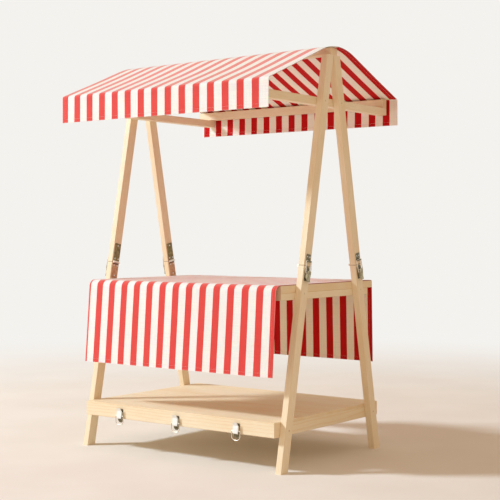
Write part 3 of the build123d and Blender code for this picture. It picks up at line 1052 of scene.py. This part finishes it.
# %% Screw down the latches
latch_plate = 0.002
latch_drop = 0.0275
plate_rows = (-0.0145, -0.030)
hook_spots = [(0.0715, 0.0095), (0.0715, -0.0095)]
fascia_latch_x = (-0.358, 0.014, 0.386)
fascia_latch_z = 0.170
fascia_y = -0.443

latch_spots = [(up, 0.0) for up in plate_rows] + hook_spots
latch_screws = [leg_face(side, place, half_length + latch_plate, 1,
                         leg_joint_z - latch_drop, up, across)
                for side, place in legs for up, across in latch_spots]
latch_screws += [facing((x, fascia_y - latch_plate, fascia_latch_z - up), (0, 0, -1), (0, -1, 0))
                 for x in fascia_latch_x for up in plate_rows]
# The latch screws take the bright tone, a painted highlight.
screws("latch_screws", latch_screws, radius=0.0032, proud=0.0006, finish=zinc_painted_highlight)

# %% [markdown]
# ## The screws of the timbers
# Three screws go through each leg from outside, into the shelf's rail, the table's rail and
# the crossbar. One more goes up through each end of a crossbar into the eave rail. They could
# be left out, as they hardly show from afar, but close by they tell how the stall is held.

# %% Screw the timbers together
screw_heights = (0.193, 0.820, 1.736)
crossbar_x, crossbar_end_y, crossbar_underside = 0.576, 0.537, 1.717

timber_screws = [leg_face(side, place, half_length, 1, height)
                 for side, place in legs for height in screw_heights]
timber_screws += [facing((x, y, crossbar_underside), (1, 0, 0), (0, 0, -1))
                  for x in (-crossbar_x, crossbar_x) for y in (-crossbar_end_y, crossbar_end_y)]
screws("timber_screws", timber_screws, radius=0.0042, proud=0.0002, finish=yellow_zinc)

# %% [markdown]
# ## The floor
# A wide pale floor takes the stall's shadow and fades into the backdrop. A curved sheet behind
# the stall could be the backdrop, but it would throw light on one side of it. So only rays
# from the camera, and those off a mirror or through glass, see the bright backdrop.

# %% Lay the floor
backdrop = srgb(244, 242, 238)
floor_colors = srgb(236, 231, 224), srgb(241, 237, 231)
floor_radius = 14.0
floor_fade = (1.6, 6.5)
mottle_scale = (1.5, 1.5, 1)


def seen_ray(web):
    """One where a ray comes from the camera, a mirror or glass, and nought elsewhere."""
    path = web.node("LightPath").outputs
    seen = web.sum("MAXIMUM", path["Is Camera Ray"], path["Is Glossy Ray"])
    return web.sum("MAXIMUM", seen, path["Is Transmission Ray"])


ground = material_web("studio_floor")
place = ground.node("TexCoord").outputs["Object"]
away = ground.node("VectorMath", {0: place}, operation="LENGTH").outputs["Value"]
fade = ground.sum("MULTIPLY", ground.ramp(away, *floor_fade), seen_ray(ground))
mottle = ground.noise(ground.stretch(place, mottle_scale), detail=3.0)
tone = ground.blend(ground.ramp(mottle, 0.3, 0.7), *floor_colors)
ground.finish(tone, 0.9, Specular_IOR_Level=0.1)
glow = ground.node("Emission", {"Color": backdrop, "Strength": 1.0}).outputs[0]
mixed = ground.node("MixShader", {0: fade, 1: ground.shader.outputs[0], 2: glow}).outputs[0]
ground.plug(ground.output.inputs["Surface"], mixed)

mesh = bmesh.new()
bmesh.ops.create_circle(mesh, cap_ends=True, radius=floor_radius, segments=96)
floor_mesh = bpy.data.meshes.new("studio_floor")
mesh.to_mesh(floor_mesh)
mesh.free()
floor_mesh.materials.append(ground.owner)
floor = add_object("studio_floor", floor_mesh)
print("floor", floor_radius, "m in radius")

# %% [markdown]
# ## The light
# In the photograph the sun stands at the front left, a third of the way up. A sun lamp would
# do, but a large round lamp far off can be seen and moved, and its width softens the edge of
# the shadow. The rest of the light comes from a soft sky, which is warm, as the shaded side of
# the stall is in the photograph. The lamp is a little cooler, which keeps white cloth white.

# %% Light the stall
sky_color = srgb(255, 224, 192)
sky_strength = 0.58
sun_place = Vector((-10.56, -8.16, 9.62))
sun_target = Vector((0, 0, 0.9))
sun_watts = 2280
sun_width = 2.2
sun_color = (0.81, 0.91, 1.0)

world = bpy.data.worlds.new("studio")
bpy.context.scene.world = world
sky = Web(world)
background = sky.tree.nodes["Background"].inputs
seen = seen_ray(sky)
sky.plug(background["Color"], sky.blend(seen, sky_color, backdrop))
sky.plug(background["Strength"], sky.ramp(seen, 0.0, 1.0, sky_strength, 1.0, smooth=False))

sun_data = bpy.data.lights.new("sun_side", "AREA")
sun_data.shape = "DISK"
sun_data.size = sun_width
sun_data.energy = sun_watts
sun_data.color = sun_color
sun = add_object("sun_side", sun_data)
sun.location = sun_place
sun.rotation_euler = (sun_target - sun_place).to_track_quat("-Z", "Y").to_euler()
print("lamp", round((sun_target - sun_place).length, 1), "m away")

# %% [markdown]
